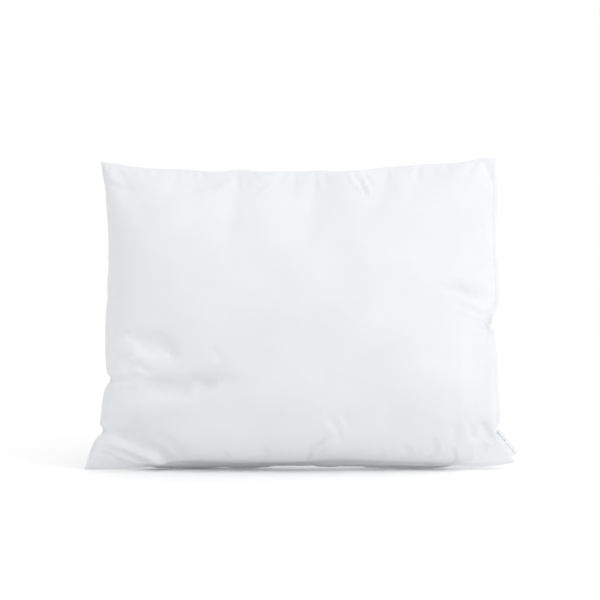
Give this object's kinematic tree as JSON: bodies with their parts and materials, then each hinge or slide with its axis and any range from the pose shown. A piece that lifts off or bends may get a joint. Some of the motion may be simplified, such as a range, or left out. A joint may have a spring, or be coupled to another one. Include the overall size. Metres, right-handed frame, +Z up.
{
  "type": "bed pillow",
  "caption": "Rectangular filled bed pillow with a plain white cover, knife-edge seams, crowned faces, splayed corner ears and a topstitched closing side.",
  "frame": {"origin": "on the floor, under the middle of the pillow as it stands on one long edge", "axes": "+X along the long edge towards the topstitched closing side, +Z up, -Y the way the front panel faces; the seam plane is Y = 0"},
  "size_m": [0.69, 0.1624, 0.492],
  "materials": {
    "cover_cloth": "plain-woven white microfibre, smooth, with a faint soft sheen",
    "fibre_filling": "loose white hollow polyester fibre",
    "sewing_thread": "white spun polyester sewing thread",
    "overlock_yarn": "white textured overlock thread",
    "label_ribbon": "white satin ribbon with plain grey dashes and no lettering"
  },
  "bodies": {
    "root": {"front_panel": "cover_cloth", "back_panel": "cover_cloth", "fibre_fill": "fibre_filling", "seam_needle_thread": "sewing_thread", "seam_bobbin_thread": "sewing_thread", "closing_needle_thread": "sewing_thread", "closing_bobbin_thread": "sewing_thread", "overlock_thread": "overlock_yarn", "care_label": "label_ribbon"}
  },
  "joints": []
}
